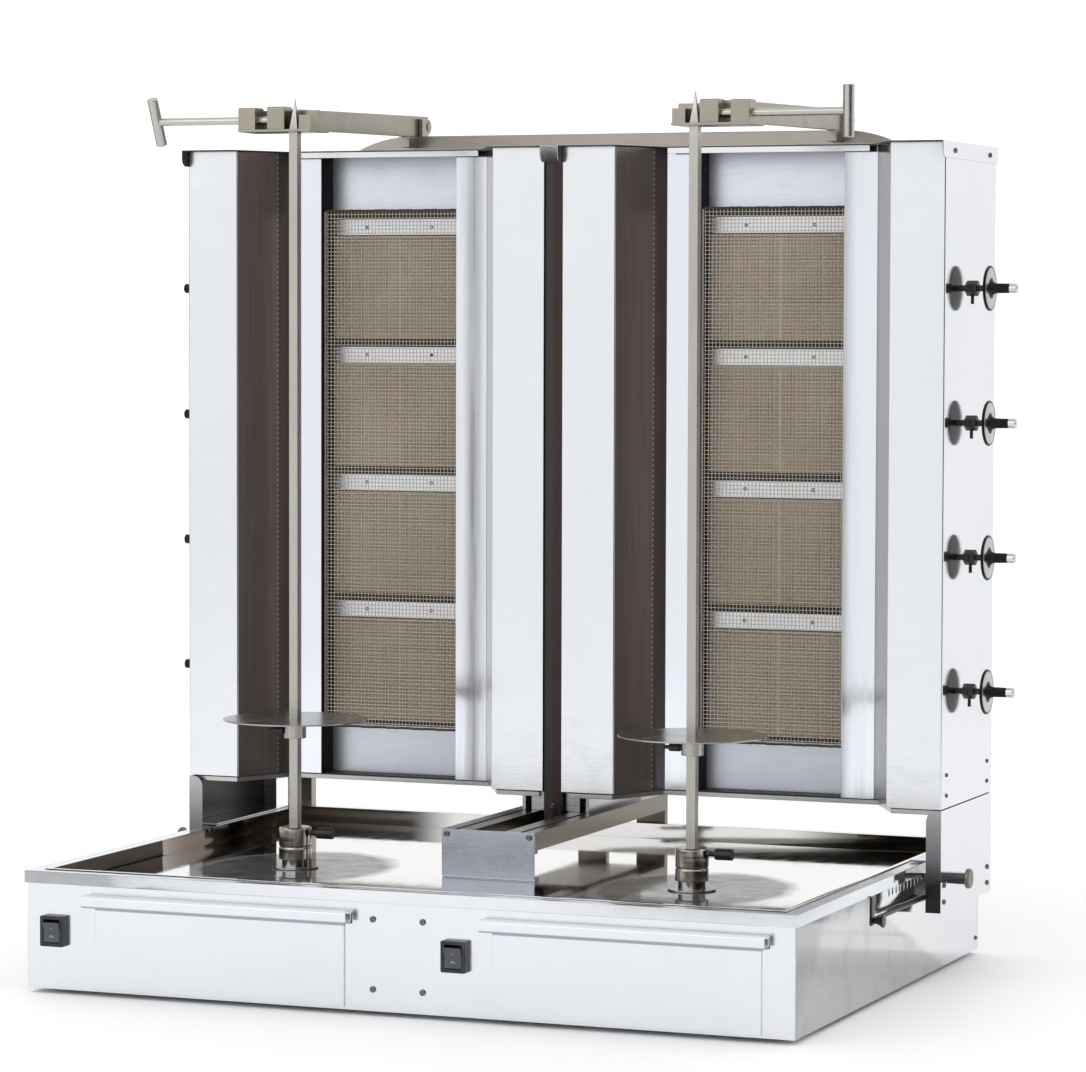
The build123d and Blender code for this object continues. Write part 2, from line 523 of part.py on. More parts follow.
def top_cap():
    """Lid that overhangs the tower's front, with a flange down each side and a front lip."""
    top, over = TOWER_Z[1], SHEET + FIT
    cap = prism_z(tower_outline(-over, CAP_REACH - over), (top, top + SHEET))
    for edge in (-1, 1):
        face = TOWER_X + edge * (TOWER_HALF + FIT)
        flange = block(sorted((face, face + edge * SHEET)), (TOWER_Y[0] - CAP_REACH, TOWER_Y[1] + over),
                       (top - CAP_FLANGE, top + SHEET))
        low_front = flange.edges().filter_by(Axis.X).group_by(Axis.Y)[0].sort_by(Axis.Z)[0]
        cap += fillet(low_front, 11)
    lip, lip_y = FLAT_HALF - 6, FLAT_Y - CAP_REACH
    cap += block((TOWER_X - lip, TOWER_X + lip), (lip_y, lip_y + SHEET), (top - CAP_LIP, top + SHEET))
    return cap - screw_holes(CAP_SCREWS)


def bottom_plate():
    """Floor of a tower, set in under its edge, with a shoe on the inner rail and a keel beside it."""
    z0, z1, inset = TOWER_Z[0] - 8, TOWER_Z[0], 8
    plate = prism_z(tower_outline(inset), (z0, z1))
    plate -= prism_z(tower_outline(inset + SHEET), (z0 - 1, z1 - SHEET))
    y = (TOWER_Y[0] + 14, TOWER_Y[1] - 24)
    plate += block((14, 34), y, (RAIL_Z[1] + FIT, z1 - SHEET))
    plate += block((RAIL_INNER[1] + FIT, RAIL_OUTER[0] - FIT), y, (RAIL_Z[0] + 8, z1 - SHEET))
    return plate


def rear_cover():
    """Rear panel of a tower with rows of air slots and the gas inlet's hole."""
    half, slot_half, slot_h, inlet_hole = TOWER_HALF - 4, 40, 6, 12
    cover = block((TOWER_X - half, TOWER_X + half), (TOWER_Y[1], TOWER_Y[1] + SHEET),
                  (TOWER_Z[0] + 4, TOWER_Z[1] - CAP_FLANGE - 4))
    through = (TOWER_Y[1] - 1, TOWER_Y[1] + 3)
    for z in range(320, 1001, 40):
        for x in (TOWER_X - 110, TOWER_X, TOWER_X + 110):
            cover -= block((x - slot_half, x + slot_half), through, (z, z + slot_h))
    cover -= rod_y(inlet_hole, TOWER_X + INLET_U, through, INLET_Z)
    return cover - screw_holes(COVER_SCREWS)


def burner_bodies():
    """Pressed burner boxes, each with a mixing tube that ends in a bell near its injector."""
    bodies, back, wall, gap = [], RECESS_Y + SHEET, 6.2, 2 * FIT
    half, depth, tube_r, bell_r, bell_l, tube_end = BURNER_HALF + wall, 52, 13, 18, 14, TOWER_X + 180
    for z in CELLS:
        low, high = z + FIELD_Z, z + FIELD_Z + FIELD_H
        mid = (low + high) / 2
        body = block((TOWER_X - half, TOWER_X + half), (back, back + depth), (low - 4, high + 4))
        body = fillet(body.edges().filter_by(Axis.X).sort_by(Axis.Y)[-2:], 12)
        body -= block((TOWER_X - BURNER_HALF, TOWER_X + BURNER_HALF), (back - 1, back + depth - 6),
                      (low + gap, high - gap))
        body += rod_x(tube_r, (TOWER_X + half - 3, tube_end), MIXER_Y, mid)
        body += place(Cone(tube_r, bell_r, bell_l), (tube_end + bell_l / 2, MIXER_Y, mid), (1, 0, 0))
        body -= rod_x(tube_r - 2, (TOWER_X + half - 13, tube_end + 20), MIXER_Y, mid)
        bodies.append(body - screw_holes(STRIP_SCREWS))
    return bodies


def burner_ceramics():
    """Two ceramic plaques side by side in each burner."""
    gap = 2 * FIT
    width, depth, plaques = BURNER_HALF - 2 * gap, (RECESS_Y + 1, RECESS_Y + 14), []
    for z in CELLS:
        for x in (TOWER_X - gap - width, TOWER_X + gap):
            low, high = z + FIELD_Z + 2 * gap, z + FIELD_Z + FIELD_H - 2 * gap
            plaque = block((x, x + width), depth, (low, high))
            plaques.append(chamfer(plaque.faces().sort_by(Axis.Y)[0].edges(), 1))
    return plaques


def mesh_guard():
    """Wire guard over the burner stack: a frame and an open grid."""
    half, wire = OPEN_HALF - 0.5, 2.0
    height = STACK_TOP - STACK_Z0
    columns, rows = 8, 28
    cell = (2 * half - wire * (columns + 1)) / columns, (height - wire * (rows + 1)) / rows
    grid = Rectangle(2 * half, height) - [
        where * Rectangle(*cell) for where in GridLocations(cell[0] + wire, cell[1] + wire, columns, rows)]
    plane = Plane(origin=(TOWER_X, GUARD_Y, (STACK_Z0 + STACK_TOP) / 2), z_dir=(0, -1, 0), x_dir=(1, 0, 0))
    return extrude(plane * grid, wire)


def gas_train(side):
    """Gas manifold with four valves; spindles come out through the side panel."""
    pipe_x, inlet_x, valve_y = TOWER_X + MANIFOLD_U, TOWER_X + INLET_U, VALVE_Y[side]
    pipe_r, rear, inner, outer = 9, TOWER_Y[1], OUTER_X - SHEET, OUTER_X + 0.01
    body = rod_z(pipe_r, pipe_x, PIPE_Y, (INLET_Z, VALVE_Z[-1] + 20))
    body += rod_x(pipe_r, (inlet_x, pipe_x), PIPE_Y, INLET_Z)
    body += [Pos(x, PIPE_Y, INLET_Z) * Sphere(pipe_r) for x in (inlet_x, pipe_x)]
    body += rod_y(pipe_r, inlet_x, (PIPE_Y, rear + 10), INLET_Z)
    body += rod_y(THREAD_R, inlet_x, (rear + 8, rear + 30), INLET_Z)
    nut, half, valve_x = extrude(RegularPolygon(10, 6), 7.5), 14, (inner - 40, inner - 8)
    for z in VALVE_Z:
        body += block(valve_x, (valve_y - half + 1, MIXER_Y + 3.5), (z - half, z + half))
        body += rod_y(8, pipe_x, (MIXER_Y - 5, PIPE_Y), z)
        body += rod_x(5, (valve_x[0] - 12, valve_x[0]), MIXER_Y, z)
        body += rod_x(6.8, (valve_x[1], OUTER_X), valve_y, z)
        body += place(nut, (outer, valve_y, z), (1, 0, 0))
        body += block((outer, OUTER_X + 2), (valve_y - 1.5, valve_y + 1.5), (z - 20, z))
        body += rod_x(STEM_R, (OUTER_X, OUTER_X + 36), valve_y, z)
    return body


def knob(side, z):
    """Gas knob: skirt disc, concave hub, slim grip and a bright cap on its end."""
    disc, hub, grip, end, steps = 21.0, 33.0, 49.5, 59.3, 8
    rim, disc_r, hub_r, grip_r = disc + 3.5, 29, 15, 6.4
    profile = [(0, disc), (disc_r - 1, disc), (disc_r, disc + 1), (disc_r, rim - 1), (disc_r - 1, rim)]
    for n in range(steps + 1):
        turn = pi / 2 * n / steps
        profile.append((hub_r - (hub_r - grip_r) * sin(turn), rim + (hub - rim) * (1 - cos(turn))))
    body = turned(profile + [(grip_r - 0.2, grip), (0, grip)])
    body -= rod_z(STEM_R + RUNNING, 0, 0, (disc - 1, 36 + FIT))
    cap = chamfer(Cylinder(grip_r, end - grip).edges().sort_by(Axis.Z)[-1], 1)
    cap = Pos(0, 0, (end + grip) / 2) * cap
    return [place(piece, (OUTER_X, VALVE_Y[side], z), (1, 0, 0)) for piece in (body, cap)]


def corner_cutter(x, y, top):
    """Cutter that rounds the inner top corner of a bracket flange."""
    radius = 14
    square = block((x - 1, x + radius), (y - 5, y + 5), (top - radius, top + 1))
    return square - rod_y(radius, x + radius, (y - 6, y + 6), top - radius)


def side_bracket():
    """Outer leg of a tower with shelves and a plunger sleeve; its pull rod; the rod's grip."""
    (y0, y1), low, top, flange = TOWER_Y, 89, TOWER_Z[0] - 1.5, OUTER_X - 20
    path = [(flange, y0), (OUTER_X, y0), (OUTER_X, y1), (flange, y1)]
    body = prism_z(folded(path, SHEET), (low, top))
    body -= [corner_cutter(flange, y, top) for y in (y0, y1)]
    under, on_rim = TOWER_Z[0] - 8, BASE_TOP + 1.2 + FIT
    body += block((OUTER_X - 60, OUTER_X - SHEET), (y0 + 20, y1 - 20), (under - SHEET, under))
    body += block((HALF_W - 14, OUTER_X), (y0, y1), (on_rim, on_rim + 1.9))
    body += rod_x(2 * PIN_R, (OUTER_X - SHEET, OUTER_X + SLEEVE_L), PLUNGER_Y, PLUNGER_Z)
    body -= rod_x(PIN_R + RUNNING, (OUTER_X - 10, OUTER_X + SLEEVE_L + 6), PLUNGER_Y, PLUNGER_Z)
    body -= screw_holes(BRACKET_SCREWS)
    x, z, front, tab_half, tab_t = HALF_W + 6, 109, SPIT_Y - 12, 6, 3
    rod = rod_y(3, x, (front, y0), z)
    rod += block((x - tab_t / 2, x + tab_t / 2), (front - tab_half, front + tab_half), (z - tab_half, z + 29))
    grip = turned([(0, 0), (3.5, 0), (4, 4), (6, 9), (8, 12), (8, 14), (0, 14)])
    return body, rod, place(grip, (x + tab_t / 2, front, z), (1, 0, 0))


def index_plunger():
    """Pin with a flanged head; its tip stands just clear of the base."""
    head_r, head_t = 12.5, 6
    middle = OUTER_X + SLEEVE_L + FIT + head_t / 2
    pin = rod_x(PIN_R, (HALF_W + 0.6, middle), PLUNGER_Y, PLUNGER_Z)
    head = chamfer(Cylinder(head_r, head_t).edges(), 1)
    return pin + place(head, (middle, PLUNGER_Y, PLUNGER_Z), (1, 0, 0))


def tower_screws():
    large = screws(BRACKET_SCREWS + CAP_SCREWS + COVER_SCREWS, 3.5)
    return large + screws(PANEL_SCREWS + STRIP_SCREWS, 2.8)


# ---- Write every node ----
os.makedirs("parts", exist_ok=True)

write("base_housing", *base_housing())
write("top_frame", *top_frame())
write("drip_tray", *drip_tray())
write("centre_rails", centre_rails())
write("centre_column", centre_column())
write("rear_upright", rear_upright())
write("spit_motors", *spit_motors())
write("feet", *feet())
write("base_screws", *base_screws())
write("switch_bezels", *[switch_bezel(x) for x in SWITCH_X.values()])

BOTH_TOWERS = {
    "reflectors": reflectors(),
    "burner_frame": [burner_frame()],
    "top_cap": [top_cap()],
    "bottom_plate": [bottom_plate()],
    "rear_cover": [rear_cover()],
    "burner_bodies": burner_bodies(),
    "burner_ceramics": burner_ceramics(),
    "mesh_guard": [mesh_guard()],
    "side_bracket": side_bracket(),
    "tower_screws": tower_screws(),
    "index_plunger": [index_plunger()],
    "arm": [arm()],
    "clamp_jaw": [clamp_jaw()],
}

for name in SIDES:
    write(f"{name}_rocker", rocker(SWITCH_X[name]))
    write(f"{name}_drawer", drawer(DRAWER_X[name]))
    write(f"{name}_spit", spit(name))
    write(f"{name}_spit_socket", *spit_socket(name))
    write(f"{name}_meat_disc", *meat_disc(name))
    write(f"{name}_t_handle", one_side(t_handle(0 if name == "right" else 25), name))
    own = {"side_casings": side_casings(name), "gas_train": [gas_train(name)]}
    for number, height in enumerate(VALVE_Z, start=1):
        own[f"gas_knob_{number}"] = knob(name, height)
    for node, shapes in (BOTH_TOWERS | own).items():
        write(f"{name}_{node}", *[one_side(shape, name) for shape in shapes])
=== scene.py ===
import json
from math import cos, pi, radians, sin

import bpy
from mathutils import Matrix, Vector

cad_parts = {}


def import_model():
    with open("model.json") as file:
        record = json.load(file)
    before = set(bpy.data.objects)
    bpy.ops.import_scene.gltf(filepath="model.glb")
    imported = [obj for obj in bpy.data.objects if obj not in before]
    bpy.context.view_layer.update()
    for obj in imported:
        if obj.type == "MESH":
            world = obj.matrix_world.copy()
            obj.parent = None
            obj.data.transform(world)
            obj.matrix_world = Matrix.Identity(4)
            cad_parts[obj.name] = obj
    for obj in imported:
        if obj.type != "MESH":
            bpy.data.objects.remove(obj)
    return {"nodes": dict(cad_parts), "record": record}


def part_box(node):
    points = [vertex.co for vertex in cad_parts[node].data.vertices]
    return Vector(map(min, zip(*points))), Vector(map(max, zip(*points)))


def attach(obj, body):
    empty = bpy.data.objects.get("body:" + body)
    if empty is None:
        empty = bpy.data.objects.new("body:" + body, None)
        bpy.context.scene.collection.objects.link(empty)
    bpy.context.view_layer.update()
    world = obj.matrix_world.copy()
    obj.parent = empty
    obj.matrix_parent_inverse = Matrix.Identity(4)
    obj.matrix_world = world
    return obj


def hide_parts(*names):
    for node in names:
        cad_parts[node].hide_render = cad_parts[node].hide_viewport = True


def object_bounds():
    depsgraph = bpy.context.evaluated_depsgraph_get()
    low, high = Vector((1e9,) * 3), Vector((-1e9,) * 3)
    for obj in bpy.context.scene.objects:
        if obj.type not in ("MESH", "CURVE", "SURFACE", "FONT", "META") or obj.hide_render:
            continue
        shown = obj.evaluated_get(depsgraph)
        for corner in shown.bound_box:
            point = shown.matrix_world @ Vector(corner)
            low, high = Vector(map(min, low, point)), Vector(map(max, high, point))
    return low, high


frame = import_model()
CAD_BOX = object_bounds()

# ---- Driving dimensions, in metres, read from the frame ----
SIDES = {"left": -1, "right": 1}
CASING_LOW, CASING_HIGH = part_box("right_side_casings")
GUARD_LOW, GUARD_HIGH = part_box("right_mesh_guard")
PLAQUES_LOW, PLAQUES_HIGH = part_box("right_burner_ceramics")
SPIT_LOW, SPIT_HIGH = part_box("right_spit")
BRACKET_LOW, BRACKET_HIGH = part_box("right_side_bracket")
CAP_LOW, CAP_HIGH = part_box("right_top_cap")
RECESS_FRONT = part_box("right_burner_frame")[0].y
RAIL_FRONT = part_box("centre_rails")[0].y
DISC_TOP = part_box("right_meat_disc")[1].z
DRAWER_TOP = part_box("right_drawer")[1].z
TOWER_MID = (CASING_LOW.x + CASING_HIGH.x) / 2
SPIT_X, SPIT_Y = (SPIT_LOW.x + SPIT_HIGH.x) / 2, (SPIT_LOW.y + SPIT_HIGH.y) / 2
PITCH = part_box("right_gas_knob_2")[0].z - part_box("right_gas_knob_1")[0].z        # burner to burner
FIELD_H = PLAQUES_HIGH.z - PLAQUES_LOW.z - 3 * PITCH
FIELDS = [PLAQUES_LOW.z + n * PITCH for n in range(4)]

# ---- Camera ----
AZIMUTH, ELEVATION, ROLL = 21.8, 2.96, 0.155     # degrees
LENS, DISTANCE = 138.0, 5.30                     # mm on a 36 mm sensor, metres to the aim point
AIM_RIGHT, AIM_BACK = 0.030, 0.0065              # aim point, from the centre of the CAD box


# ---- Materials ----
class Shader:
    """A material with one Principled surface, and short-hands for the nodes that feed it."""

    def __init__(self, name):
        self.material = bpy.data.materials.new(name)
        self.material.use_nodes = True
        self.tree = self.material.node_tree
        self.surface = self.tree.nodes["Principled BSDF"]
        self.place = self.node("ShaderNodeTexCoord").outputs["Object"]
        normal = self.node("ShaderNodeNewGeometry").outputs["Normal"]
        at, facing = self.split(self.place), self.split(normal)
        self.x, self.y, self.z = at["X"], at["Y"], at["Z"]
        self.out_x = self.maths("ABSOLUTE", self.x)      # distance from the middle plane
        self.faces_x, self.faces_y, self.faces_z = facing["X"], facing["Y"], facing["Z"]
        self.side_on = self.maths("ABSOLUTE", self.faces_x)
        self.faces_front = self.above(self.maths("MULTIPLY", self.faces_y, -1.0), 0.5, 0.1)

    def node(self, kind, **settings):
        made = self.tree.nodes.new(kind)
        for key, value in settings.items():
            setattr(made, key, value)
        return made

    def split(self, vector):
        node = self.node("ShaderNodeSeparateXYZ")
        self.feed(node.inputs["Vector"], vector)
        return node.outputs

    def feed(self, socket, value):
        """Links a socket to another one, or gives it a plain value."""
        if isinstance(value, bpy.types.NodeSocket):
            self.tree.links.new(value, socket)
        else:
            socket.default_value = value

    def noise(self, scale, stretch=(1, 1, 1), detail=3.0):
        """Noise of `scale` grains a metre, drawn out along the axes whose stretch is below 1."""
        mapping = self.node("ShaderNodeMapping")
        self.feed(mapping.inputs["Vector"], self.place)
        self.feed(mapping.inputs["Scale"], [scale * s for s in stretch])
        noise = self.node("ShaderNodeTexNoise")
        self.feed(noise.inputs["Vector"], mapping.outputs["Vector"])
        self.feed(noise.inputs["Scale"], 1.0)
        self.feed(noise.inputs["Detail"], detail)
        return noise.outputs["Fac"]

    def remap(self, value, source, target):
        """The value carried from one range to another, and held inside it."""
        node = self.node("ShaderNodeMapRange", clamp=True)
        self.feed(node.inputs["Value"], value)
        for name, number in zip(("From Min", "From Max", "To Min", "To Max"), source + target):
            self.feed(node.inputs[name], number)
        return node.outputs["Result"]

    def maths(self, operation, a, b=0.0):
        node = self.node("ShaderNodeMath", operation=operation)
        self.feed(node.inputs[0], a)
        self.feed(node.inputs[1], b)
        return node.outputs["Value"]

    def above(self, value, limit, soft=0.0003):
        """1 where the value is past the limit, 0 below it."""
        return self.remap(value, (limit - soft, limit + soft), (0.0, 1.0))

    def below(self, value, limit, soft=0.0003):
        return self.opposite(self.above(value, limit, soft))

    def between(self, value, low, high, soft=0.0003):
        return self.both(self.above(value, low, soft), self.below(value, high, soft))

    def opposite(self, mask):
        return self.maths("SUBTRACT", 1.0, mask)

    def both(self, a, b):
        return self.maths("MULTIPLY", a, b)

    def either(self, a, b):
        return self.maths("MAXIMUM", a, b)

    def mix(self, factor, a, b):
        node = self.node("ShaderNodeMix", data_type="RGBA")
        self.feed(node.inputs["Factor"], factor)
        self.feed(node.inputs["A"], a)
        self.feed(node.inputs["B"], b)
        return node.outputs["Result"]

    def bump(self, height, distance, strength=1.0):
        node = self.node("ShaderNodeBump")
        self.feed(node.inputs["Height"], height)
        self.feed(node.inputs["Distance"], distance)
        self.feed(node.inputs["Strength"], strength)
        return node.outputs["Normal"]

    def finish(self, colour, roughness, metallic=0.0, normal=None):
        self.feed(self.surface.inputs["Base Color"], colour)
        self.feed(self.surface.inputs["Roughness"], roughness)
        self.feed(self.surface.inputs["Metallic"], metallic)
        if normal is not None:
            self.feed(self.surface.inputs["Normal"], normal)
        return self.material


def rgba(colour, level=1.0):
    return [channel * level for channel in colour] + [1.0]


GRAIN = {"x": (0.03, 1, 1), "y": (1, 0.03, 1), "z": (1, 1, 0.03)}
BLACK = (0.012, 0.011, 0.012)
# Near black for painted shade (burner recess, under the top cap, inside the side brackets) and for painted
# dark reflections on the drip tray.
PAINTED_DARK = (0.022, 0.018, 0.016)


def brushed_parts(shader, colour, rough, grain, wear, streak):
    """Colour, roughness and normal of brushed steel: fine grain, soft handling marks, streaks."""
    fine = shader.noise(900, GRAIN[grain], 2)
    wide = shader.noise(140, GRAIN[grain], 3)
    cloud = shader.noise(5, detail=4)
    smear = shader.remap(shader.noise(24, detail=5), (0.52, 0.70), (0.0, 1.0))
    shade = shader.mix(shader.remap(cloud, (0.3, 0.7), (0.0, 1.0)),
                       rgba(colour, 1 - wear), rgba(colour))
    shade = shader.mix(shader.remap(wide, (0.35, 0.65), (0.0, streak)), shade, rgba(colour, 0.80))
    roughness = shader.remap(fine, (0.3, 0.7), (rough * 0.80, rough * 1.20))
    roughness = shader.maths("ADD", roughness, shader.maths("MULTIPLY", smear, 0.06))
    return shade, roughness, shader.bump(fine, 0.00004, 0.5)


def brushed(name, colour, rough, grain="z", wear=0.06, streak=0.10):
    shader = Shader(name)
    shade, roughness, normal = brushed_parts(shader, colour, rough, grain, wear, streak)
    return shader.finish(shade, roughness, 1.0, normal)


def masked(name, steel, mask, dark=PAINTED_DARK, dark_rough=0.5, metallic=0.0):
    """Brushed steel that turns to another finish where the mask, made from the shader, is 1."""
    shader = Shader(name)
    shade, roughness, normal = brushed_parts(shader, *steel)
    where = mask(shader)
    roughness = shader.maths("ADD", shader.both(roughness, shader.opposite(where)),
                             shader.both(where, dark_rough))
    metal = shader.remap(where, (0.0, 1.0), (1.0, metallic))
    return shader.finish(shader.mix(where, shade, rgba(dark)), roughness, metal, normal)


CASING = (0.765, 0.785, 0.815)
CASING_STEEL = (CASING, 0.19, "x", 0.03, 0.05)
FRAME_STEEL = ((0.42, 0.42, 0.42), 0.24, "y", 0.12, 0.2)


def casing_steel(name):
    """Bright sheet: satin on the front, nearly a mirror on the side panels."""
    shader = Shader(name)
    shade, roughness, normal = brushed_parts(shader, *CASING_STEEL)
    side = shader.above(shader.side_on, 0.7, 0.1)
    roughness = shader.maths("MULTIPLY", roughness, shader.remap(side, (0.0, 1.0), (1.0, 0.4)))
    return shader.finish(shade, roughness, 1.0, normal)


STRIP_HALF, SLANT_SEAM = 0.143, 0.1535           # flat strip's edge and the seam, out from the middle
DASH_PITCH = 0.007                               # light dashes along the seam


def from_tower_middle(shader):
    """Distance to either side of the tower's own middle plane."""
    return shader.maths("ABSOLUTE", shader.maths("SUBTRACT", shader.out_x, TOWER_MID))


def reflector_steel(name):
    """Bright on the flat strips, dark brown on the slanted faces and darker still between the flat strip and
    the seam; the recess wall is painted black and matt as shade.
    """
    shader = Shader(name)
    off_middle = from_tower_middle(shader)
    cloud = shader.noise(7, (1, 1, 0.4), 4)
    streaks = shader.noise(160, GRAIN["z"], 3)
    bright = shader.mix(cloud, rgba((0.72, 0.75, 0.81)), rgba((0.80, 0.82, 0.87)))
    tinted = shader.mix(shader.remap(cloud, (0.3, 0.7), (0.0, 1.0)),
                        rgba((0.150, 0.122, 0.114)), rgba((0.190, 0.158, 0.148)))
    tinted = shader.mix(shader.remap(streaks, (0.4, 0.7), (0.0, 0.25)), tinted, rgba((0.07, 0.055, 0.05)))
    beyond_seam = shader.between(off_middle, STRIP_HALF, SLANT_SEAM)
    tinted = shader.mix(shader.maths("MULTIPLY", beyond_seam, 0.75), tinted, rgba((0.075, 0.055, 0.062)))
    waves = shader.maths("SINE", shader.maths("MULTIPLY", shader.z, 2 * pi / DASH_PITCH))
    dashes = shader.above(waves, 0.1, 0.3)
    seam = shader.both(shader.between(off_middle, SLANT_SEAM - 0.0004, SLANT_SEAM + 0.0005), dashes)
    tinted = shader.mix(shader.maths("MULTIPLY", seam, 0.8), tinted, rgba((0.46, 0.43, 0.42)))
    slant = shader.above(shader.side_on, 0.45, 0.1)
    shade = shader.mix(slant, bright, tinted)
    # Painted shade: the recess's side wall is made black, matt and barely glossy.
    shaded_recess_wall = shader.above(shader.side_on, 0.95, 0.02)
    shade = shader.mix(shaded_recess_wall, shade, rgba(BLACK))
    metal = shader.remap(slant, (0.0, 1.0), (1.0, 0.5))
    roughness = shader.remap(streaks, (0.3, 0.7), (0.09, 0.15))
    roughness = shader.maths("MAXIMUM", roughness, shader.maths("MULTIPLY", shaded_recess_wall, 0.6))
    gloss = shader.remap(shaded_recess_wall, (0.0, 1.0), (0.5, 0.1))
    shader.feed(shader.surface.inputs["Specular IOR Level"], gloss)
    return shader.finish(shade, roughness, metal, shader.bump(streaks, 0.00003, 0.4))


def in_burner_stack(shader):
    """The part of the recess plate behind the wire guard, painted near black as shade."""
    return shader.between(shader.z, GUARD_LOW.z, GUARD_HIGH.z)


def under_cap(shader):
    """Everything on the cap except its top, its lip and the outside of its side flanges; these edges and
    undersides are painted near black as shade.
    """
    half = CASING_HIGH.x - TOWER_MID
    off_middle = from_tower_middle(shader)
    outside = shader.above(off_middle, half + 0.0008)
    top = shader.above(shader.faces_z, 0.5, 0.1)
    lip = shader.both(shader.below(off_middle, STRIP_HALF),
                      shader.between(shader.z, CAP_LOW.z, CAP_HIGH.z - 0.0022))
    lip = shader.both(lip, shader.faces_front)
    return shader.opposite(shader.either(lip, shader.either(outside, top)))


def under_casing(shader):
    """Shadow line where the tower's floor is set in under the casings."""
    return shader.above(shader.z, CASING_LOW.z - 0.0022)


def inside_bracket(shader):
    """Painted shade on the inner faces of the side brackets and on the front flange, darker towards the
    bottom; the pull rod is made dark as well.
    """
    inward = shader.maths("MULTIPLY", shader.maths("SIGN", shader.x), shader.faces_x)
    inner = shader.both(shader.above(shader.maths("MULTIPLY", inward, -1.0), 0.5, 0.1),
                        shader.above(shader.out_x, CASING_HIGH.x - 0.030))
    front = shader.both(shader.faces_front,
                        shader.remap(shader.z, (BRACKET_LOW.z + 0.035, BRACKET_HIGH.z), (1.0, 0.45)))
    rod = shader.below(shader.y, CASING_LOW.y - 0.001)
    return shader.either(rod, shader.either(inner, front))


LIP_EDGE = DRAWER_TOP - 0.015                 # lower edge of a drawer's pull lip


def under_lip(shader):
    """Shaded fold of the pull lip, and the drawer's front just under it."""
    return shader.between(shader.z, LIP_EDGE - 0.0045, LIP_EDGE + 0.0020, 0.0006)


def left_of_middle(shader):
    """Left half of the column, which a tower's shade keeps black."""
    return shader.below(shader.x, -0.001, 0.002)


def rails_behind(shader):
    """The rails behind the centre plate, made darker and browner."""
    return shader.above(shader.y, RAIL_FRONT + 0.0025)


def outside_panel(shader):
    """Valve spindles, nuts and pointers, which stand outside the side panel."""
    return shader.above(shader.out_x, CASING_HIGH.x - 0.0002)


def from_spit(shader, squash=1.0):
    """Distance from the nearest spit's axis; `squash` below 1 draws its rings out along Y."""
    across = shader.maths("SUBTRACT", shader.out_x, SPIT_X)
    along = shader.maths("MULTIPLY", shader.maths("SUBTRACT", shader.y, SPIT_Y), squash)
    square = shader.maths("ADD", shader.maths("MULTIPLY", across, across),
                          shader.maths("MULTIPLY", along, along))
    return shader.maths("SQRT", square)


def socket_screw(shader):
    return shader.above(from_spit(shader), 0.0216)


def disc_screw(shader):
    below = shader.maths("SUBTRACT", DISC_TOP - 0.003, shader.z)
    return shader.both(shader.above(below, 0.0), shader.above(from_spit(shader), 0.0143))


def polished_socket(name):
    """Turned and polished steel, black where the thumb screw stands out."""
    shader = Shader(name)
    rings = shader.noise(420, (0.02, 0.02, 1), 2)
    marks = shader.noise(50, detail=4)
    shade = shader.mix(marks, rgba((0.40, 0.36, 0.31)), rgba((0.58, 0.54, 0.49)))
    where = socket_screw(shader)
    metal = shader.opposite(where)
    roughness = shader.remap(rings, (0.3, 0.7), (0.10, 0.22))
    roughness = shader.maths("ADD", roughness, shader.maths("MULTIPLY", where, 0.3))
    return shader.finish(shader.mix(where, shade, rgba(BLACK)), roughness, metal,
                         shader.bump(rings, 0.00003, 0.5))


DISC_REFLECTION_R, DISC_REFLECTION_SQUASH = 0.13, 0.75               # painted reflection of a meat disc around a socket, and its squash along Y


def around_socket(shader):
    """Painted dark reflection of a meat disc on the tray around each spit socket."""
    edge = shader.maths("MULTIPLY", shader.noise(18, detail=3), 0.02)
    return shader.below(shader.maths("ADD", from_spit(shader, DISC_REFLECTION_SQUASH), edge), DISC_REFLECTION_R, 0.010)


def tray_steel(name):
    """Mirror finish with slight waves and wiping marks; brown painted reflections on the side walls, and matt
    painted reflections of the discs around the sockets.
    """
    shader = Shader(name)
    marks = shader.noise(60, (1, 0.2, 1), 5)
    waves = shader.noise(5, detail=1)
    shade = shader.mix(marks, rgba((0.78, 0.77, 0.76)), rgba((0.84, 0.83, 0.82)))
    # Painted reflection: the side walls are coloured brown for the dark things they reflect.
    painted_wall_reflection = shader.mix(marks, rgba((0.15, 0.115, 0.095)), rgba((0.21, 0.17, 0.14)))
    side_wall = shader.above(shader.side_on, 0.5, 0.1)
    shade = shader.mix(side_wall, shade, painted_wall_reflection)
    # Painted reflection: a matt near-black patch for the discs' dark reflections around the sockets.
    disc_reflection = shader.both(around_socket(shader), shader.above(shader.faces_z, 0.5, 0.1))
    reflection_noise = shader.remap(shader.noise(30, detail=4), (0.3, 0.7), (0.80, 0.95))
    disc_reflection = shader.maths("MULTIPLY", disc_reflection, reflection_noise)
    shade = shader.mix(disc_reflection, shade, rgba(PAINTED_DARK))
    metal = shader.opposite(disc_reflection)
    shader.feed(shader.surface.inputs["Specular IOR Level"], shader.maths("MULTIPLY", metal, 0.5))
    roughness = shader.remap(marks, (0.35, 0.75), (0.04, 0.09))
    return shader.finish(shade, roughness, metal, shader.bump(waves, 0.0002))


